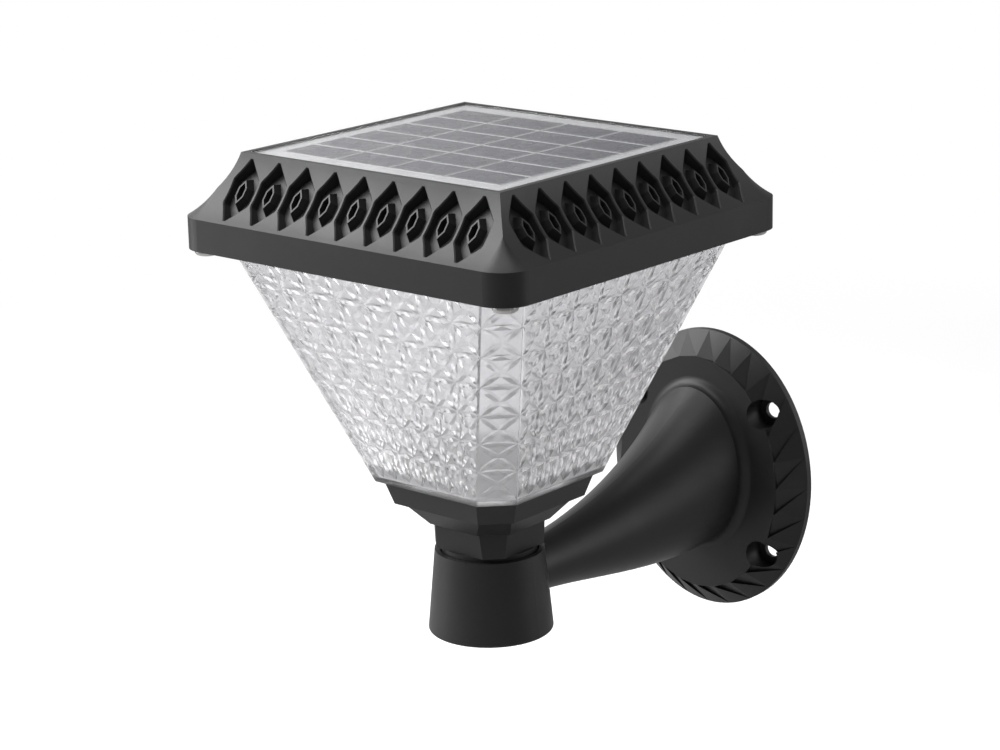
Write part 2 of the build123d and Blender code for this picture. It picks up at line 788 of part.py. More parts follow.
with BuildPart() as panel_cover:
    with BuildSketch(level(cover_level)):
        Rectangle(panel_width, panel_width)
    extrude(amount=cover_thickness)
panel_cover.part.label = "panel_cover"
export_step(panel_cover.part, "parts/panel_cover.step")

# Reflector tray over the lens, with bosses for both boards
led_screw_offset = led_board_width - 2 * led_screw_inset
board_screw_x = board_length - 2 * board_screw_inset
board_screw_y = board_width - 2 * board_screw_inset
with BuildPart() as reflector_tray:
    with BuildSketch(level(flange_top_level)):
        chamfered_square(2 * half_flange, flange_chamfer)
        with Locations((0, lead_row_y)):
            Circle(lead_hole / 2, mode=Mode.SUBTRACT)
    extrude(amount=tray_thickness)
    add(switch_notch.part, mode=Mode.SUBTRACT)
    with BuildSketch(level(flange_top_level)):
        with GridLocations(led_screw_offset, led_screw_offset, 2, 2):
            Circle(tray_boss_diameter / 2)
    extrude(amount=-led_standoff)
    with BuildSketch(level(tray_top_level, 0, board_y)):
        with GridLocations(board_screw_x, board_screw_y, 2, 2):
            Circle(tray_boss_diameter / 2)
    extrude(amount=board_standoff)
    with BuildSketch(level(flange_top_level - led_standoff)):
        with GridLocations(led_screw_offset, led_screw_offset, 2, 2):
            Circle(small_screw_diameter / 2 + thread_clearance)
    extrude(amount=small_screw_grip, mode=Mode.SUBTRACT)
    with BuildSketch(level(tray_top_level + board_standoff, 0, board_y)):
        with GridLocations(board_screw_x, board_screw_y, 2, 2):
            Circle(small_screw_diameter / 2 + thread_clearance)
    extrude(amount=-small_screw_grip, mode=Mode.SUBTRACT)
reflector_tray.part.label = "reflector_tray"
export_step(reflector_tray.part, "parts/reflector_tray.step")

# Light source under the tray
led_board_level = flange_top_level - led_standoff - led_board_thickness
with BuildPart() as led_board:
    with BuildSketch(level(led_board_level)):
        Rectangle(led_board_width, led_board_width)
        with GridLocations(led_screw_offset, led_screw_offset, 2, 2):
            Circle(small_screw_diameter / 2 + screw_hole_clearance, mode=Mode.SUBTRACT)
    extrude(amount=led_board_thickness)
led_board.part.label = "led_board"
export_step(led_board.part, "parts/led_board.step")

with BuildPart() as leds:
    with BuildSketch(level(led_board_level)):
        with GridLocations(led_pitch, led_pitch, led_count, led_count):
            Rectangle(led_length, led_width)
    extrude(amount=-led_height)
leds.part.label = "leds"
export_step(leds.part, "parts/leds.step")

with BuildPart() as led_board_screws:
    with BuildSketch(level(led_board_level - small_screw_head_height)):
        with GridLocations(led_screw_offset, led_screw_offset, 2, 2):
            Circle(small_screw_head / 2)
    extrude(amount=small_screw_head_height)
    with BuildSketch(level(led_board_level)):
        with GridLocations(led_screw_offset, led_screw_offset, 2, 2):
            Circle(small_screw_diameter / 2)
    extrude(amount=led_board_thickness + small_screw_grip)
led_board_screws.part.label = "led_board_screws"
export_step(led_board_screws.part, "parts/led_board_screws.step")

# Battery: two round cells in a cradle, with end contacts
holder_inside = cell_length + 2 * contact_thickness
holder_length = holder_inside + 2 * holder_wall
holder_width = cell_spacing + cell_diameter + 2 * holder_wall
cell_axis_level = tray_top_level + holder_base + cell_diameter / 2
with BuildPart() as battery_holder:
    with BuildSketch(level(tray_top_level, 0, battery_y)):
        Rectangle(holder_length, holder_width)
    extrude(amount=holder_height)
    for row in (-cell_spacing / 2, cell_spacing / 2):
        trough = Plane(origin=at(-holder_inside / 2, battery_y + row, cell_axis_level), z_dir=(1, 0, 0))
        with BuildSketch(trough):
            Circle(cell_diameter / 2 + holder_play)
    extrude(amount=holder_inside, mode=Mode.SUBTRACT)
battery_holder.part.label = "battery_holder"
export_step(battery_holder.part, "parts/battery_holder.step")

with BuildPart() as battery_cells:
    for row in (-cell_spacing / 2, cell_spacing / 2):
        cell_end = Plane(origin=at(-cell_length / 2, battery_y + row, cell_axis_level), z_dir=(1, 0, 0))
        with BuildSketch(cell_end):
            Circle(cell_diameter / 2)
    extrude(amount=cell_length)
battery_cells.part.label = "battery_cells"
export_step(battery_cells.part, "parts/battery_cells.step")

contact_level = tray_top_level + holder_base + contact_diameter / 2
with BuildPart() as battery_contacts:
    for row in (-cell_spacing / 2, cell_spacing / 2):
        for end in (-cell_length / 2 - contact_thickness, cell_length / 2):
            with BuildSketch(Plane(origin=at(end, battery_y + row, contact_level), z_dir=(1, 0, 0))):
                Circle(contact_diameter / 2)
    extrude(amount=contact_thickness)
battery_contacts.part.label = "battery_contacts"
export_step(battery_contacts.part, "parts/battery_contacts.step")

# Charge controller on the tray's standoffs
board_level = tray_top_level + board_standoff
board_top_level = board_level + board_thickness
with BuildPart() as control_board:
    with BuildSketch(level(board_level, 0, board_y)):
        Rectangle(board_length, board_width)
        with GridLocations(board_screw_x, board_screw_y, 2, 2):
            Circle(small_screw_diameter / 2 + screw_hole_clearance, mode=Mode.SUBTRACT)
    extrude(amount=board_thickness)
control_board.part.label = "control_board"
export_step(control_board.part, "parts/control_board.step")

with BuildPart() as control_board_screws:
    with BuildSketch(level(board_top_level, 0, board_y)):
        with GridLocations(board_screw_x, board_screw_y, 2, 2):
            Circle(small_screw_head / 2)
    extrude(amount=small_screw_head_height)
    with BuildSketch(level(board_top_level, 0, board_y)):
        with GridLocations(board_screw_x, board_screw_y, 2, 2):
            Circle(small_screw_diameter / 2)
    extrude(amount=-board_thickness - small_screw_grip)
control_board_screws.part.label = "control_board_screws"
export_step(control_board_screws.part, "parts/control_board_screws.step")

with BuildPart() as inductor:
    with BuildSketch(level(board_top_level, -board_length / 4, board_y)):
        Circle(inductor_diameter / 2)
    extrude(amount=inductor_height)
    fillet(inductor.edges().group_by(Axis.Z)[-1], inductor_round)
inductor.part.label = "inductor"
export_step(inductor.part, "parts/inductor.step")

with BuildPart() as control_chip:
    with BuildSketch(level(board_top_level, board_length / 8, board_y)):
        Rectangle(chip_length, chip_width)
    extrude(amount=chip_height)
    chamfer(control_chip.faces().sort_by(Axis.Z)[-1].edges(), chip_chamfer)
control_chip.part.label = "control_chip"
export_step(control_chip.part, "parts/control_chip.step")

connector_front_y = board_y - board_width / 2 + connector_width / 2
connector_back_y = board_y + board_width / 2 - connector_width / 2
with BuildPart() as lead_connectors:
    with BuildSketch(level(board_top_level)):
        with Locations(
            (-connector_pitch, connector_front_y),
            (0, connector_front_y),
            (connector_pitch, connector_front_y),
            (connector_pitch, connector_back_y),
        ):
            Rectangle(connector_length, connector_width)
    extrude(amount=connector_height)
lead_connectors.part.label = "lead_connectors"
export_step(lead_connectors.part, "parts/lead_connectors.step")

# Leads in pairs, from the connectors to what they feed
mouth_front_y = board_y - board_width / 2
mouth_back_y = board_y + board_width / 2
half_spacing = lead_spacing / 2
holder_end_x = holder_length / 2
side_run_x = holder_end_x + lead_run
low_lead_level = tray_top_level + switch_proud + lead_rest_gap + lead_diameter / 2
lead_routes = {
    "panel_leads": (
        (half_spacing, 0, 0),
        [
            at(-connector_pitch, mouth_front_y, lead_level),
            at(-connector_pitch, lead_row_y, lead_level),
            at(-connector_pitch, lead_row_y, backsheet_level),
        ],
    ),
    "led_leads": (
        (half_spacing, 0, 0),
        [
            at(0, mouth_front_y, lead_level),
            at(0, lead_row_y, lead_level),
            at(0, lead_row_y, flange_top_level - led_standoff),
        ],
    ),
    "battery_leads": (
        (0, 0, half_spacing),
        [
            at(connector_pitch, mouth_front_y, lead_level),
            at(connector_pitch, lead_row_y, lead_level),
            at(side_run_x, lead_row_y, lead_level),
            at(side_run_x, battery_y + cell_spacing / 2, lead_level),
            at(holder_end_x, battery_y + cell_spacing / 2, lead_level),
        ],
    ),
    "switch_leads": (
        (half_spacing, 0, 0),
        [
            at(connector_pitch, mouth_back_y, lead_level),
            at(connector_pitch, mouth_back_y + lead_run / 2, lead_level),
            at(switch_x, switch_y - lead_run, low_lead_level),
            at(switch_x, switch_y - switch_width / 4, low_lead_level),
        ],
    ),
}
for lead_name, (aside, route) in lead_routes.items():
    with BuildPart() as leads:
        for side in (-1, 1):
            shift = Vector(*aside) * side
            with BuildLine() as lead_path:
                FilletPolyline([point + shift for point in route], radius=lead_bend)
            with BuildSketch(Plane(origin=lead_path.line @ 0, z_dir=lead_path.line % 0)):
                Circle(lead_diameter / 2)
            sweep(path=lead_path.line)
    leads.part.label = lead_name
    export_step(leads.part, f"parts/{lead_name}.step")
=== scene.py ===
"""Looks of the solar wall lamp: its pressed shade, its finishes and a plain studio around it."""

import math

import bmesh
import bpy
from mathutils import Matrix, Vector


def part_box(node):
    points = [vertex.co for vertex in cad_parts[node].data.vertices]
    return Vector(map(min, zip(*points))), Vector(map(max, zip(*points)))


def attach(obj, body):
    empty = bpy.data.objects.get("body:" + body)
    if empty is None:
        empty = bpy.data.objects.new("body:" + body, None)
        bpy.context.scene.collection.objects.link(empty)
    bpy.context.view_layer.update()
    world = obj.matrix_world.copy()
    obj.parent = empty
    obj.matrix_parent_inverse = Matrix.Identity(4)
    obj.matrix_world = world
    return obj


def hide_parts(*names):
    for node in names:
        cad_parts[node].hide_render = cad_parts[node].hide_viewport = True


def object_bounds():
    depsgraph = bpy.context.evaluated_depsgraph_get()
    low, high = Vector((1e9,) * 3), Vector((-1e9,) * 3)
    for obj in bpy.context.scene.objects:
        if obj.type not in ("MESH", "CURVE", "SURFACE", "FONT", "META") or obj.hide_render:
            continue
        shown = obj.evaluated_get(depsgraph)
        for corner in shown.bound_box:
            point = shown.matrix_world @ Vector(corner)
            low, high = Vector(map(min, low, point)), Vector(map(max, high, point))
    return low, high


bl_info = {
    "name": "Solar wall lamp",
    "version": (1, 0, 0),
    "blender": (4, 5, 0),
    "location": "View3D > Sidebar > Lamp",
    "description": "Dresses the solar wall lamp with its pressed shade, its finishes and a studio",
    "category": "Object",
}

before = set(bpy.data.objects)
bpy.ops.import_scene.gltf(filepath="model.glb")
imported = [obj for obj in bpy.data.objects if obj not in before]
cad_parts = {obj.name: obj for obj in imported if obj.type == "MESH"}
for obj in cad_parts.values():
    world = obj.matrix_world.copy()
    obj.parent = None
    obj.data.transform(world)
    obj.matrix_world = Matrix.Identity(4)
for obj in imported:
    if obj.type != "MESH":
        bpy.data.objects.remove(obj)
cad_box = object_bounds()
MILLIMETRE = 0.001


# Node maths

PATTERN_MIDDLE = 0.5

# Sockets of a Mix node that mixes colours, by their place
MIX_SHARE = 0
MIX_FIRST = 6
MIX_SECOND = 7
MIX_RESULT = 2


class Shade:
    """A socket among a material's nodes. Arithmetic on shades and numbers adds Math nodes."""

    def __init__(self, tree, socket=None):
        self.tree = tree
        self.socket = socket

    def node(self, kind, settings, sockets, output=0):
        """Adds a node, sets it up, fills or links its sockets, and gives one of its outputs."""
        node = self.tree.nodes.new(kind)
        for name, value in settings.items():
            setattr(node, name, value)
        for name, value in sockets.items():
            if isinstance(value, Shade):
                self.tree.links.new(value.socket, node.inputs[name])
            else:
                node.inputs[name].default_value = value
        if not node.outputs:
            return None
        return Shade(self.tree, node.outputs[output])

    def maths(self, operation, first, second):
        return self.node("ShaderNodeMath", {"operation": operation}, {0: first, 1: second})

    def __add__(self, other):
        return self.maths("ADD", self, other)

    def __radd__(self, other):
        return self.maths("ADD", other, self)

    def __sub__(self, other):
        return self.maths("SUBTRACT", self, other)

    def __rsub__(self, other):
        return self.maths("SUBTRACT", other, self)

    def __mul__(self, other):
        return self.maths("MULTIPLY", self, other)

    def __rmul__(self, other):
        return self.maths("MULTIPLY", other, self)


def grey(level):
    return (level, level, level, 1.0)


def darker(colour, share):
    """A colour with only a share of its light."""
    return tuple(share * part for part in colour[:3]) + (1.0,)


def object_place(shade):
    """The point of the surface in the lamp's own frame, in metres."""
    return shade.node("ShaderNodeTexCoord", {}, {}, output="Object")


def noise(shade, place, feature, detail):
    """Noise between about 0.2 and 0.8 with features of the given size in metres."""
    return shade.node("ShaderNodeTexNoise", {}, {"Vector": place, "Scale": 1 / feature, "Detail": detail})


def swing(pattern, amount):
    """A pattern's ups and downs round its middle, scaled to an amount."""
    return amount * (pattern - PATTERN_MIDDLE)


def blend(shade, share, first, second):
    """Mixes two colours."""
    settings = {"data_type": "RGBA", "clamp_factor": True}
    sockets = {MIX_SHARE: share, MIX_FIRST: first, MIX_SECOND: second}
    return shade.node("ShaderNodeMix", settings, sockets, output=MIX_RESULT)


def ease(shade, value, low, high):
    """Goes smoothly from 0 at low to 1 at high."""
    sockets = {"Value": value, "From Min": low, "From Max": high}
    return shade.node("ShaderNodeMapRange", {"interpolation_type": "SMOOTHSTEP"}, sockets)


def relief(shade, height, depth):
    """Turns a height between 0 and 1 into a bumped normal, depth metres deep."""
    return shade.node("ShaderNodeBump", {}, {"Height": height, "Distance": depth})


def new_finish(name):
    """An empty material, and the shade that its nodes start from."""
    material = bpy.data.materials.new(name)
    material.use_nodes = True
    material.node_tree.nodes.clear()
    return material, Shade(material.node_tree)


def close_finish(material, shade, sockets):
    """Closes a material with one surface shader."""
    surface = shade.node("ShaderNodeBsdfPrincipled", {}, sockets)
    shade.node("ShaderNodeOutputMaterial", {}, {"Surface": surface})
    return material


def dress(node_names, material):
    """Gives CAD nodes their finish."""
    for name in node_names:
        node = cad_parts[name]
        if not node.material_slots:
            raise RuntimeError("node has no material slot: " + name)
        for slot in node.material_slots:
            slot.material = material


# Settings

def colour_property(name, description, red, green, blue):
    return bpy.props.FloatVectorProperty(
        name=name, description=description, default=(red, green, blue, 1.0), size=4, min=0.0, max=1.0,
        subtype="COLOR",
    )


def length_property(name, description, length):
    return bpy.props.FloatProperty(
        name=name, description=description, default=length, min=0.0, unit="LENGTH", precision=5
    )


def share_property(name, description, share):
    return bpy.props.FloatProperty(
        name=name, description=description, default=share, min=0.0, max=1.0, subtype="FACTOR"
    )


def power_property(name, description, power):
    return bpy.props.FloatProperty(name=name, description=description, default=power, min=0.0, unit="POWER")


def count_property(name, description, count):
    return bpy.props.IntProperty(name=name, description=description, default=count, min=1)


def index_property(name, description, index):
    return bpy.props.FloatProperty(name=name, description=description, default=index, min=1.0)


class PlasticSettings(bpy.types.PropertyGroup):
    colour: colour_property("Colour", "Colour of the black mouldings", 0.017, 0.017, 0.0174)
    worn_colour: colour_property("Worn colour", "Colour of rubbed patches", 0.022, 0.022, 0.0225)
    patch: length_property("Patch", "Size of the rubbed patches", 35 * MILLIMETRE)
    rub_gloss: share_property("Rubbed gloss", "How much smoother the rubbed patches are", 0.05)
    roughness: share_property("Roughness", "Roughness of the moulded skin", 0.42)
    specular: share_property("Specular", "Strength of the skin's gloss", 0.33)
    grain: length_property("Grain", "Size of the spark grain", 0.45 * MILLIMETRE)
    grain_depth: length_property("Grain depth", "Depth of the spark grain", 0.02 * MILLIMETRE)
    grain_roughness: share_property("Grain roughness", "How much the grain changes the roughness", 0.10)


class LensSettings(bpy.types.PropertyGroup):
    colour: colour_property("Colour", "Tint of the clear shade", 0.85, 0.845, 0.862)
    roughness: share_property("Roughness", "Haze of the shade", 0.19)
    clarity: share_property("Clarity", "Share of the light that goes straight through", 0.95)
    refraction: index_property("Refraction", "Index of the plastic", 1.49)
    ripple: length_property("Ripple", "Size of the ripples in the skin", 6 * MILLIMETRE)
    ripple_depth: length_property("Ripple depth", "Depth of the ripples", 0.05 * MILLIMETRE)
    ripple_haze: share_property("Ripple haze", "How much the haze comes and goes", 0.06)
    columns: count_property("Columns", "Star cells across a face", 8)
    rows: count_property("Rows", "Star cells down a face", 7)
    plain_band: length_property("Plain band", "Smooth strip under the stars", 3.3 * MILLIMETRE)
    petal: length_property("Petal", "Half the width of a pressed petal", 1.5 * MILLIMETRE)
    petal_depth: length_property("Petal depth", "Depth of a petal at its middle", 0.75 * MILLIMETRE)


class PanelSettings(bpy.types.PropertyGroup):
    cell_colour: colour_property("Cells", "Colour of the silicon cells", 0.024, 0.025, 0.044)
    flake_colour: colour_property("Flakes", "Colour of the lighter crystals", 0.029, 0.030, 0.052)
    contact_colour: colour_property("Contacts", "Colour of the strip round each cell", 0.46, 0.46, 0.475)
    contact_width: length_property("Contact width", "Width of the strip round each cell", 0.35 * MILLIMETRE)
    pitch_x: length_property("Pitch across", "Distance of the cells across the panel", 28 * MILLIMETRE)
    pitch_y: length_property("Pitch along", "Distance of the cells along the panel", 18 * MILLIMETRE)
    gap: length_property("Gap", "Gap between the cells", 1 * MILLIMETRE)
    sheet_colour: colour_property("Sheet", "Colour of the white sheet round the cells", 0.38, 0.38, 0.395)
    film_colour: colour_property("Film", "Tint of the clear film", 0.96, 0.97, 0.97)
    film_roughness: share_property("Film roughness", "Haze of the film", 0.03)
    film_cover: share_property("Film cover", "Share of the light that the film bends or throws back", 0.15)
    film_refraction: index_property("Film refraction", "Index of the film", 1.5)
    gloss: share_property("Gloss", "Gloss of the cells and the sheet under the film", 0.9)


class FittingSettings(bpy.types.PropertyGroup):
    steel_colour: colour_property("Steel", "Colour of the screws", 0.62, 0.61, 0.60)
    steel_roughness: share_property("Steel roughness", "Roughness of the screws", 0.26)
    seal_colour: colour_property("Seals", "Colour of the rubber seals", 0.21, 0.21, 0.22)
    button_colour: colour_property("Button", "Colour of the push button", 0.03, 0.03, 0.031)


class InsideSettings(bpy.types.PropertyGroup):
    white_colour: colour_property("White plastic", "Colour of the tray and connectors", 0.80, 0.80, 0.79)
    card_colour: colour_property("Card", "Colour of the card on the lens floor", 0.94, 0.94, 0.935)
    lamp_board_colour: colour_property("Light board", "Colour of the light board", 0.76, 0.77, 0.75)
    phosphor_colour: colour_property("Phosphor", "Colour of the light sources", 0.82, 0.66, 0.16)
    control_board_colour: colour_property("Control board", "Colour of the control board", 0.02, 0.14, 0.06)
    wrap_colour: colour_property("Cell wrap", "Colour of the battery sleeves", 0.05, 0.15, 0.42)
    nickel_colour: colour_property("Contacts", "Colour of the battery contacts", 0.63, 0.60, 0.55)
    moulding_colour: colour_property("Small parts", "Colour of the small black parts", 0.025, 0.025, 0.026)
    sleeve_colour: colour_property("Lead sleeve", "Colour of the leads", 0.42, 0.03, 0.03)


class StageSettings(bpy.types.PropertyGroup):
    floor_colour: colour_property("Floor", "Colour of the floor", 0.93, 0.93, 0.93)
    bounce_colour: colour_property("Bounce", "Colour that the floor casts up", 0.38, 0.38, 0.38)
    floor_drop: length_property("Floor drop", "Height of the lamp over the floor", 0.10)
    floor_near: length_property("Floor near", "Distance where the floor starts to turn white", 0.385)
    floor_reach: length_property("Floor reach", "Distance where the floor turns into the backdrop", 1.1)
    key_power: power_property("Key", "Power of the soft light on the left", 52.0)
    top_power: power_property("Top", "Power of the soft light above", 8.0)
    low_power: power_property("Low", "Power of the low soft light on the left", 1.0)
    side_power: power_property("Side", "Power of the soft light behind, on the right", 2.5)
    room: share_property("Room", "Brightness of the room beside the white sweep, in gloss", 0.25)
    fill: share_property("Fill", "Light from all round", 0.3)


class LampSettings(bpy.types.PropertyGroup):
    plastic: bpy.props.PointerProperty(type=PlasticSettings)
    lens: bpy.props.PointerProperty(type=LensSettings)
    panel: bpy.props.PointerProperty(type=PanelSettings)
    fittings: bpy.props.PointerProperty(type=FittingSettings)
    inside: bpy.props.PointerProperty(type=InsideSettings)
    stage: bpy.props.PointerProperty(type=StageSettings)


# Finishes

def black_plastic(settings):
    """Satin black moulding with a fine spark grain and faintly rubbed patches."""
    material, shade = new_finish("black_plastic")
    place = object_place(shade)
    grain = noise(shade, place, settings.grain, detail=3.0)
    patches = noise(shade, place, settings.patch, detail=4.0)
    rubbed = ease(shade, patches, low=0.48, high=0.74)
    grained = settings.roughness + swing(grain, settings.grain_roughness)
    return close_finish(material, shade, {
        "Base Color": blend(shade, rubbed, settings.colour, settings.worn_colour),
        "Roughness": grained - settings.rub_gloss * rubbed,
        "Specular IOR Level": settings.specular,
        "Normal": relief(shade, grain, settings.grain_depth),
    })


def moulded(name, colour, roughness, grain, depth, gloss=0.0):
    """Plain moulded or coated finish with a little grain and a little unevenness of colour."""
    patch = 12 * MILLIMETRE
    patch_light = 0.86
    grain_roughness = 0.15
    material, shade = new_finish(name)
    place = object_place(shade)
    skin = noise(shade, place, grain, detail=3.0)
    patches = ease(shade, noise(shade, place, patch, detail=2.0), low=0.3, high=0.7)
    return close_finish(material, shade, {
        "Base Color": blend(shade, patches, darker(colour, patch_light), colour),
        "Roughness": roughness + swing(skin, grain_roughness),
        "Coat Weight": gloss,
        "Normal": relief(shade, skin, depth),
    })


def metal(name, colour, roughness, streak):
    """Bare metal with fine drawn streaks."""
    drawn_out = (1.0, 1.0, 0.12)
    streak_light = 0.7
    streak_roughness = 0.2
    streak_depth = 0.01 * MILLIMETRE
    material, shade = new_finish(name)
    stretched = shade.node("ShaderNodeMapping", {}, {"Vector": object_place(shade), "Scale": drawn_out})
    lines = noise(shade, stretched, streak, detail=4.0)
    return close_finish(material, shade, {
        "Base Color": blend(shade, lines, darker(colour, streak_light), colour),
        "Metallic": 1.0,
        "Roughness": roughness + swing(lines, streak_roughness),
        "Normal": relief(shade, lines, streak_depth),
    })


def clear_plastic(settings):
    """Clear shade with a slight haze that comes and goes."""
    material, shade = new_finish("clear_plastic")
    ripple = noise(shade, object_place(shade), settings.ripple, detail=1.0)
    return close_finish(material, shade, {
        "Base Color": settings.colour,
        "Roughness": settings.roughness + swing(ripple, settings.ripple_haze),
        "IOR": settings.refraction,
        "Transmission Weight": settings.clarity,
        "Normal": relief(shade, ripple, settings.ripple_depth),
    })


def clear_film(settings):
    """Clear film over the panel, a little wavy."""
    wave = 9 * MILLIMETRE
    wave_depth = 0.01 * MILLIMETRE
    wave_roughness = 0.03
    material, shade = new_finish("panel_film")
    waves = noise(shade, object_place(shade), wave, detail=1.0)
    return close_finish(material, shade, {
        "Base Color": settings.film_colour,
        "Roughness": settings.film_roughness + swing(waves, wave_roughness),
        "IOR": settings.film_refraction,
        "Transmission Weight": 1.0,
        "Alpha": settings.film_cover,
        "Normal": relief(shade, waves, wave_depth),
    })


def line_distance(shade, place, axis, middle, pitch):
    """Distance from the nearest line between two cells, along one axis."""
    along = shade.node("ShaderNodeSeparateXYZ", {}, {"Vector": place}, output=axis)
    return shade.maths("PINGPONG", along - middle, pitch / 2)


def silicon(settings):
    """Dark silicon with faint crystals, and a pale contact strip round each cell."""
    crystals_per_metre = 240.0
    smooth = 0.22
    crystal_roughness = 0.12
    strip_edge = 0.8
    material, shade = new_finish("cell_glass")
    place = object_place(shade)
    sockets = {"Vector": place, "Scale": crystals_per_metre}
    crystals = shade.node("ShaderNodeTexVoronoi", {}, sockets, output="Color")
    share = shade.node("ShaderNodeSeparateColor", {}, {"Color": crystals}, output="Red")
    low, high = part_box("solar_cells")
    across = line_distance(shade, place, "X", (low[0] + high[0]) / 2, settings.pitch_x)
    along = line_distance(shade, place, "Y", (low[1] + high[1]) / 2, settings.pitch_y)
    strip_end = settings.gap / 2 + settings.contact_width
    inside = ease(shade, shade.maths("MINIMUM", across, along), strip_edge * strip_end, strip_end)
    crystal = blend(shade, share, settings.cell_colour, settings.flake_colour)
    return close_finish(material, shade, {
        "Base Color": blend(shade, inside, settings.contact_colour, crystal),
        "Roughness": smooth + crystal_roughness * share,
        "Coat Weight": settings.gloss,
    })


# Pieces

def add_object(name, shell):
    """Turns a finished bmesh into an object of the scene."""
    mesh = bpy.data.meshes.new(name)
    shell.to_mesh(mesh)
    shell.free()
    piece = bpy.data.objects.new(name, mesh)
    bpy.context.scene.collection.objects.link(piece)
    return piece


class LAMP_OT_black_mouldings(bpy.types.Operator):
    """Dress the bracket, the collar, the cap and the frame in black plastic"""
    bl_idname = "lamp.black_mouldings"
    bl_label = "Black mouldings"

    def execute(self, context):
        finish = black_plastic(context.scene.lamp.plastic)
        dress(["wall_bracket", "neck_collar", "roof_cap", "base_frame"], finish)
        return {"FINISHED"}


# The shade's sloped outer walls are flats and cut corners in turn, and their normals point a little down
WALL_COUNT = 8
FLATS = 0
CORNERS = 1
MOST_DOWN = -0.60
LEAST_DOWN = -0.25
SAME_HEIGHT = 0.1 * MILLIMETRE
SAME_POINT = 0.001 * MILLIMETRE
EDGE_MARGIN = 1 * MILLIMETRE


def wall_heading(face):
    """Number of the sloped outer wall that a face lies on, counted round from +X, or None."""
    if not MOST_DOWN < face.normal.z < LEAST_DOWN:
        return None
    turn = math.atan2(face.normal.y, face.normal.x) / math.tau
    return round(turn * WALL_COUNT) % WALL_COUNT


def join_walls(shell):
    """Joins each sloped outer wall to one face, and gives the flats and then the cut corners."""
    groups = {}
    for face in shell.faces:
        heading = wall_heading(face)
        if heading is not None:
            groups.setdefault(heading, []).append(face)
    if len(groups) != WALL_COUNT:
        raise RuntimeError("the shade has %d sloped walls, not %d" % (len(groups), WALL_COUNT))
    walls = {FLATS: [], CORNERS: []}
    for heading, faces in groups.items():
        joined = bmesh.ops.dissolve_faces(shell, faces=faces, use_verts=False)["region"]
        walls[heading % 2].extend(joined)
    return walls[FLATS], walls[CORNERS]


def wall_cells(shell, kind, low, high):
    """Faces of the flats or of the cut corners between two heights."""
    cells = []
    for face in shell.faces:
        heading = wall_heading(face)
        if heading is not None and heading % 2 == kind and low < face.calc_center_median().z < high:
            cells.append(face)
    return cells


def edges_of(faces):
    return list({edge for face in faces for edge in face.edges})


def is_level(edge):
    first, second = edge.verts
    return abs(first.co.z - second.co.z) < SAME_HEIGHT


def cut_into_cells(shell, settings):
    """Divides the walls over the plain band into star cells, and gives the heights they lie between."""
    flats, corners = join_walls(shell)
    heights = [vert.co.z for face in flats for vert in face.verts]
    band = min(heights) + settings.plain_band
    top = max(heights)

    walls = flats + corners
    cut = list({vert for face in walls for vert in face.verts}) + edges_of(walls) + walls
    bmesh.ops.bisect_plane(shell, geom=cut, plane_co=(0, 0, band), plane_no=(0, 0, 1))

    walls = wall_cells(shell, FLATS, band, top) + wall_cells(shell, CORNERS, band, top)
    upright = [edge for edge in edges_of(walls) if not is_level(edge)]
    bmesh.ops.subdivide_edges(shell, edges=upright, cuts=settings.rows - 1, use_grid_fill=True)
    level = [edge for edge in edges_of(wall_cells(shell, FLATS, band, top)) if is_level(edge)]
    bmesh.ops.subdivide_edges(shell, edges=level, cuts=settings.columns - 1, use_grid_fill=True)
    return band, top


def press_petals(shell, settings, band, top):
    """Presses a petal along every line between the star cells and from their corners to their middles."""
    cells = wall_cells(shell, FLATS, band, top)
    corner_cells = wall_cells(shell, CORNERS, band, top)
    border = set()
    for edge in edges_of(cells + corner_cells):
        heights = [vert.co.z for vert in edge.verts]
        at_end = min(heights) < band + EDGE_MARGIN or max(heights) > top - EDGE_MARGIN
        between_walls = len({face in cells for face in edge.link_faces}) == 2
        if between_walls or (is_level(edge) and at_end):
            border.add(edge)
    petals = bmesh.ops.poke(shell, faces=cells + corner_cells)["faces"]
    creases = [edge for edge in edges_of(petals) if edge not in border]
    bmesh.ops.inset_individual(shell, faces=petals, thickness=settings.petal, use_even_offset=True)
    divided = bmesh.ops.subdivide_edges(shell, edges=creases, cuts=1, use_single_edge=True)
    middles = [item for item in divided["geom_inner"] if isinstance(item, bmesh.types.BMVert)]
    for vert in middles:
        vert.co -= settings.petal_depth * vert.normal


def pressed_shade(settings):
    """The clear shade with petals pressed into its outside, so that they meet in rows of stars."""
    shell = bmesh.new()
    shell.from_mesh(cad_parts["lens"].data)
    bmesh.ops.remove_doubles(shell, verts=shell.verts, dist=SAME_POINT)
    band, top = cut_into_cells(shell, settings)
    press_petals(shell, settings, band, top)
    bmesh.ops.triangulate(shell, faces=[face for face in shell.faces if len(face.verts) > 4])
    return add_object("pressed_lens", shell)


class LAMP_OT_pressed_lens(bpy.types.Operator):
    """Press the star pattern into the clear shade"""
    bl_idname = "lamp.pressed_lens"
    bl_label = "Pressed lens"

    def execute(self, context):
        settings = context.scene.lamp.lens
        piece = pressed_shade(settings)
        piece.data.materials.append(clear_plastic(settings))
        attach(piece, "head")
        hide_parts("lens")
        return {"FINISHED"}


class LAMP_OT_solar_panel(bpy.types.Operator):
    """Dress the solar panel's cells, sheets and film"""
    bl_idname = "lamp.solar_panel"
    bl_label = "Solar panel"

    def execute(self, context):
        settings = context.scene.lamp.panel
        sheet = moulded(
            "white_sheet", settings.sheet_colour, roughness=0.5, grain=1.5 * MILLIMETRE,
            depth=0.01 * MILLIMETRE, gloss=settings.gloss,
        )
        dress(["solar_cells"], silicon(settings))
        dress(["solar_backsheet", "panel_adhesive"], sheet)
        dress(["panel_cover"], clear_film(settings))
        return {"FINISHED"}


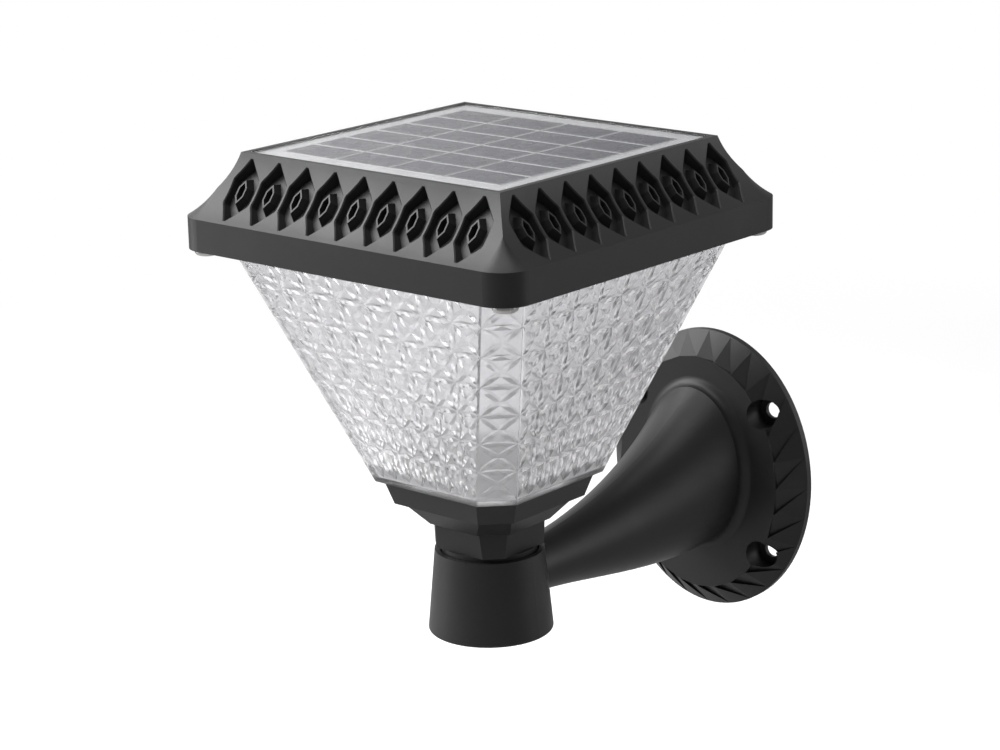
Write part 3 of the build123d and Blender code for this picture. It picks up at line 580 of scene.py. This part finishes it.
class LAMP_OT_fittings(bpy.types.Operator):
    """Dress the screws, the washer, the seals and the button"""
    bl_idname = "lamp.fittings"
    bl_label = "Screws, seals and button"

    def execute(self, context):
        settings = context.scene.lamp.fittings
        steel = metal(
            "bright_steel", settings.steel_colour, settings.steel_roughness, streak=0.8 * MILLIMETRE
        )
        seal = moulded(
            "grey_rubber", settings.seal_colour, roughness=0.7, grain=0.5 * MILLIMETRE,
            depth=0.03 * MILLIMETRE,
        )
        button = moulded(
            "button_rubber", settings.button_colour, roughness=0.6, grain=0.4 * MILLIMETRE,
            depth=0.02 * MILLIMETRE,
        )
        screws = ["cap_screws", "collar_screws", "pivot_screw", "led_board_screws", "control_board_screws"]
        dress(screws + ["friction_washer"], steel)
        dress(["lens_gasket", "collar_gasket"], seal)
        dress(["power_button"], button)
        return {"FINISHED"}


class LAMP_OT_inside(bpy.types.Operator):
    """Dress what is closed in under the cap"""
    bl_idname = "lamp.inside"
    bl_label = "Inside"

    def execute(self, context):
        settings = context.scene.lamp.inside
        fine = 0.3 * MILLIMETRE
        coarse = 2 * MILLIMETRE
        depth = 0.01 * MILLIMETRE
        white_parts = ["reflector_tray", "lead_connectors"]
        small_parts = ["battery_holder", "control_chip", "inductor", "switch_body"]
        leads = ["panel_leads", "battery_leads", "led_leads", "switch_leads"]
        finishes = (
            (white_parts, "white_plastic", settings.white_colour, 0.4, fine),
            (["floor_reflector"], "white_card", settings.card_colour, 0.4, fine),
            (["led_board"], "white_board", settings.lamp_board_colour, 0.35, fine),
            (["leds"], "led_yellow", settings.phosphor_colour, 0.45, fine),
            (["control_board"], "green_board", settings.control_board_colour, 0.35, fine),
            (["battery_cells"], "cell_wrap", settings.wrap_colour, 0.3, coarse),
            (small_parts, "black_moulding", settings.moulding_colour, 0.5, fine),
            (leads, "lead_sleeve", settings.sleeve_colour, 0.4, fine),
        )
        for nodes, name, colour, roughness, grain in finishes:
            dress(nodes, moulded(name, colour, roughness, grain, depth))
        nickel = metal("nickel_strip", settings.nickel_colour, roughness=0.3, streak=1 * MILLIMETRE)
        dress(["battery_contacts"], nickel)
        return {"FINISHED"}


# Studio

LIGHT_AIM = Vector((0.0, -0.13, 0.08))
FLOOR_HALF_WIDTH = 6.0

# The lamp's gloss shows a white sweep on its left and a white backdrop behind it on its right
SWEEP_DIRECTION = (-0.996, 0.087, 0.0)
BACKDROP_DIRECTION = (0.5, 0.866, 0.0)

# The photograph's camera, with its place and axes in the lamp's frame and its lens in millimetres
CAMERA_PLACE = Vector((0.7069, -0.9659, 0.3796))
CAMERA_RIGHT = Vector((0.7613, 0.6481, -0.0197))
CAMERA_UP = Vector((-0.1612, 0.2185, 0.9624))
CAMERA_BACK = Vector((0.6280, -0.7295, 0.2708))
SENSOR_WIDTH = 36.0
FOCAL_LENGTH = 100.8


def soft_light(name, towards, distance, size, power):
    """A square soft light that faces the lamp from a direction."""
    light = bpy.data.lights.new(name, "AREA")
    light.shape = "SQUARE"
    light.size = size
    light.energy = power
    heading = Vector(towards).normalized()
    turn = heading.to_track_quat("Z", "Y").to_matrix().to_4x4()
    lamp = bpy.data.objects.new(name, light)
    lamp.visible_transmission = False
    lamp.matrix_world = Matrix.Translation(LIGHT_AIM + distance * heading) @ turn
    bpy.context.scene.collection.objects.link(lamp)


def photo_camera():
    """Camera where the photograph was taken from."""
    data = bpy.data.cameras.new("camera")
    data.sensor_width = SENSOR_WIDTH
    data.sensor_fit = "HORIZONTAL"
    data.lens = FOCAL_LENGTH
    turn = Matrix((CAMERA_RIGHT, CAMERA_UP, CAMERA_BACK)).transposed().to_4x4()
    camera = bpy.data.objects.new("camera", data)
    camera.matrix_world = Matrix.Translation(CAMERA_PLACE) @ turn
    bpy.context.scene.collection.objects.link(camera)
    bpy.context.scene.camera = camera


def ray(shade, kind):
    """1 where one kind of ray meets the surface, and 0 elsewhere."""
    return shade.node("ShaderNodeLightPath", {}, {}, output=kind)


def seen_directly(shade):
    """1 for what the camera sees straight or through glass."""
    return shade.maths("MAXIMUM", ray(shade, "Is Camera Ray"), ray(shade, "Is Transmission Ray"))


def turned_to(shade, heading, direction, low, high):
    """Goes from 0 to 1 as a heading turns to a direction, by the cosine between them."""
    sockets = {0: heading, 1: direction}
    cosine = shade.node("ShaderNodeVectorMath", {"operation": "DOT_PRODUCT"}, sockets, output="Value")
    return ease(shade, cosine, low, high)


def white_surroundings(settings):
    """White all round for the eye, white surfaces in a dimmer room for gloss, and a little fill."""
    world = bpy.data.worlds.new("surroundings")
    world.use_nodes = True
    world.node_tree.nodes.clear()
    shade = Shade(world.node_tree)
    heading = shade.node("ShaderNodeTexCoord", {}, {}, output="Generated")
    sweep = turned_to(shade, heading, SWEEP_DIRECTION, low=0.60, high=0.80)
    backdrop = turned_to(shade, heading, BACKDROP_DIRECTION, low=0.65, high=0.95)
    mirrored = settings.room + (1.0 - settings.room) * shade.maths("MAXIMUM", sweep, backdrop)
    direct = seen_directly(shade)
    glossy = ray(shade, "Is Glossy Ray")
    shown = shade.maths("MAXIMUM", direct, glossy * mirrored)
    fill = settings.fill * (1.0 - shade.maths("MAXIMUM", direct, glossy))
    around = shade.node("ShaderNodeBackground", {}, {"Color": grey(1.0), "Strength": shown + fill})
    shade.node("ShaderNodeOutputWorld", {}, {"Surface": around})
    return world


def pale_floor(settings):
    """Plain floor that keeps the lamp's shadow and fades into the white backdrop."""
    dust_size = 4 * MILLIMETRE
    roughness = 0.75
    dust_roughness = 0.1
    specular = 0.1
    material, shade = new_finish("pale_floor")
    place = object_place(shade)
    reach = shade.node("ShaderNodeVectorMath", {"operation": "LENGTH"}, {"Vector": place}, output="Value")
    far = ease(shade, reach, settings.floor_near, settings.floor_reach)
    dust = noise(shade, place, dust_size, detail=3.0)
    direct = seen_directly(shade)
    matt = shade.node("ShaderNodeBsdfPrincipled", {}, {
        "Base Color": blend(shade, direct, settings.bounce_colour, settings.floor_colour),
        "Roughness": roughness + swing(dust, dust_roughness),
        "Specular IOR Level": specular,
    })
    glossy = ray(shade, "Is Glossy Ray")
    shown = shade.maths("MAXIMUM", direct, settings.room * glossy)
    white = shade.node("ShaderNodeEmission", {}, {"Color": grey(1.0), "Strength": shown})
    share = far * shade.maths("MAXIMUM", direct, glossy)
    surface = shade.node("ShaderNodeMixShader", {}, {0: share, 1: matt, 2: white})
    shade.node("ShaderNodeOutputMaterial", {}, {"Surface": surface})
    return material


def studio_floor(settings):
    """Wide level floor under the lamp."""
    place = Matrix.Translation((0, 0, cad_box[0][2] - settings.floor_drop))
    sheet = bmesh.new()
    bmesh.ops.create_grid(sheet, x_segments=1, y_segments=1, size=FLOOR_HALF_WIDTH, matrix=place)
    floor = add_object("floor", sheet)
    floor.data.materials.append(pale_floor(settings))
    return floor


class LAMP_OT_stage(bpy.types.Operator):
    """Set the floor, the lights, the white surroundings and the camera"""
    bl_idname = "lamp.stage"
    bl_label = "Stage"

    def execute(self, context):
        settings = context.scene.lamp.stage
        context.scene.view_settings.view_transform = "Standard"
        floor = studio_floor(settings)
        soft_light("key_light", (-0.63, -0.44, 0.63), distance=1.5, size=1.6, power=settings.key_power)
        soft_light("top_light", (0.1, -0.1, 1.0), distance=1.6, size=1.0, power=settings.top_power)
        soft_light("low_light", (-0.86, -0.50, 0.02), distance=0.75, size=0.4, power=settings.low_power)
        soft_light("side_light", (0.80, 0.58, 0.10), distance=1.4, size=0.8, power=settings.side_power)
        context.scene.world = white_surroundings(settings)
        photo_camera()
        return {"FINISHED"}


class LAMP_PT_panel(bpy.types.Panel):
    """Steps that dress the lamp"""
    bl_idname = "LAMP_PT_panel"
    bl_label = "Solar wall lamp"
    bl_space_type = "VIEW_3D"
    bl_region_type = "UI"
    bl_category = "Lamp"

    def draw(self, context):
        for step in STEPS:
            self.layout.operator(step.bl_idname)


STEPS = (
    LAMP_OT_black_mouldings,
    LAMP_OT_pressed_lens,
    LAMP_OT_solar_panel,
    LAMP_OT_fittings,
    LAMP_OT_inside,
    LAMP_OT_stage,
)
CLASSES = (
    PlasticSettings,
    LensSettings,
    PanelSettings,
    FittingSettings,
    InsideSettings,
    StageSettings,
    LampSettings,
) + STEPS + (LAMP_PT_panel,)


def register():
    for item in CLASSES:
        bpy.utils.register_class(item)
    bpy.types.Scene.lamp = bpy.props.PointerProperty(type=LampSettings)


def unregister():
    del bpy.types.Scene.lamp
    for item in reversed(CLASSES):
        bpy.utils.unregister_class(item)


def main():
    register()
    bpy.ops.lamp.black_mouldings()
    bpy.ops.lamp.pressed_lens()
    bpy.ops.lamp.solar_panel()
    bpy.ops.lamp.fittings()
    bpy.ops.lamp.inside()
    bpy.ops.lamp.stage()


if __name__ == "__main__":
    main()
